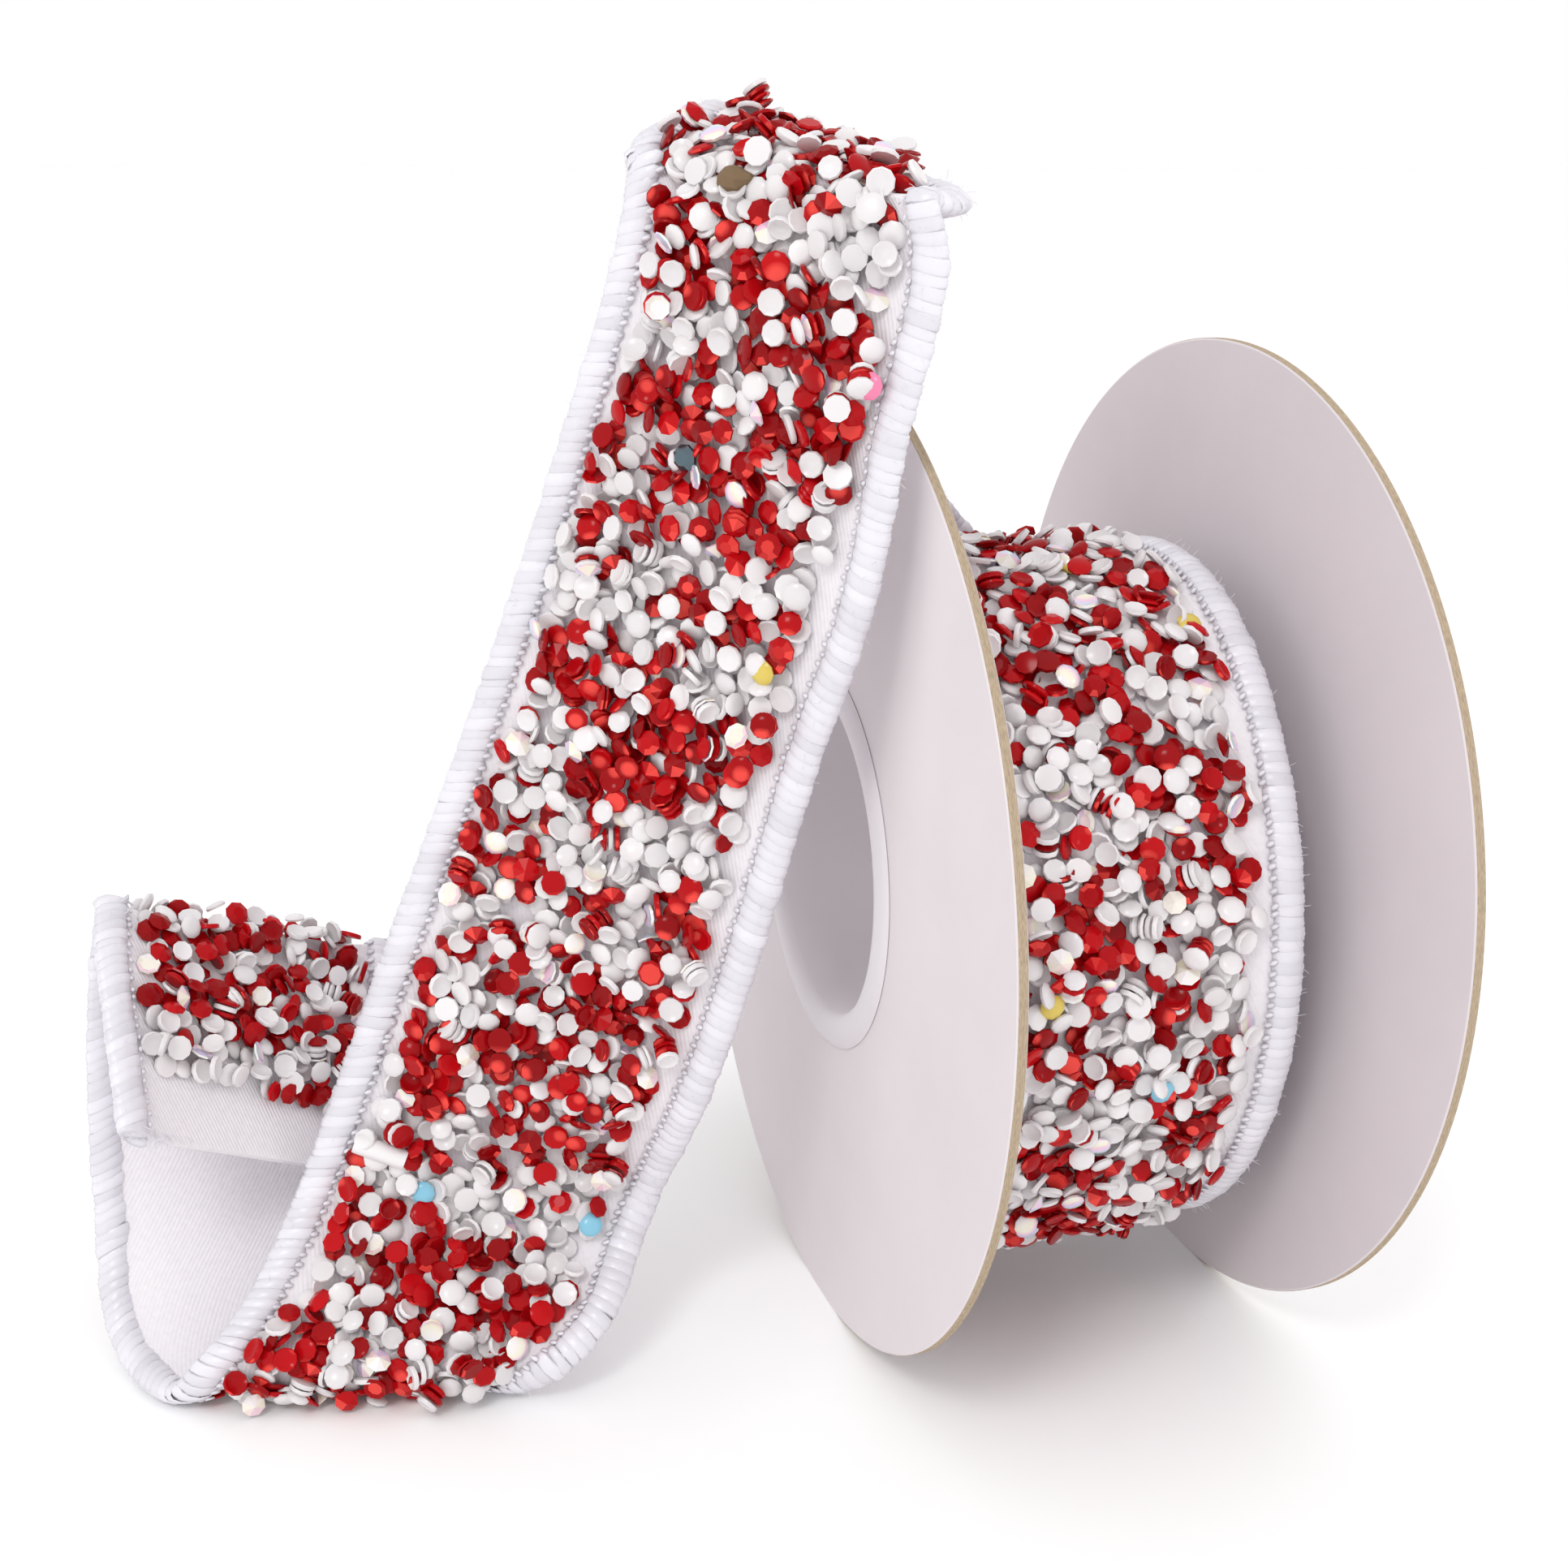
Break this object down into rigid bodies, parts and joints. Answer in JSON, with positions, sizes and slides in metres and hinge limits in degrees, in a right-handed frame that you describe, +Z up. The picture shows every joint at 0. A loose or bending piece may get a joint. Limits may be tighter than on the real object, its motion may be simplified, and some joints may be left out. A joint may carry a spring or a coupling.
{
  "type": "beaded ribbon on a spool",
  "caption": "Wired-edge craft ribbon covered with flat beads, wound on a cardboard spool, its loose end draped over one flange and folded on the surface.",
  "frame": {"origin": "foot of the near flange, at the middle of its thickness, on the surface it stands on", "axes": "+X along the spool's axis from the near flange to the far flange, +Y away from the viewer, +Z up"},
  "size_m": [0.127, 0.1104, 0.1324],
  "materials": {
    "chipboard": "matt white-lined chipboard with kraft cut edge",
    "core_paper": "matt white core paper",
    "beaded_tape": "white cloth under red and white gloss beads",
    "overlock_thread": "glossy white overlock thread"
  },
  "bodies": {
    "root": {"flange_near": "chipboard", "flange_far": "chipboard", "spool_core": "core_paper", "ribbon_roll": "beaded_tape", "tail_tape": "beaded_tape", "tail_edge_left": "overlock_thread", "tail_edge_right": "overlock_thread"}
  },
  "joints": []
}
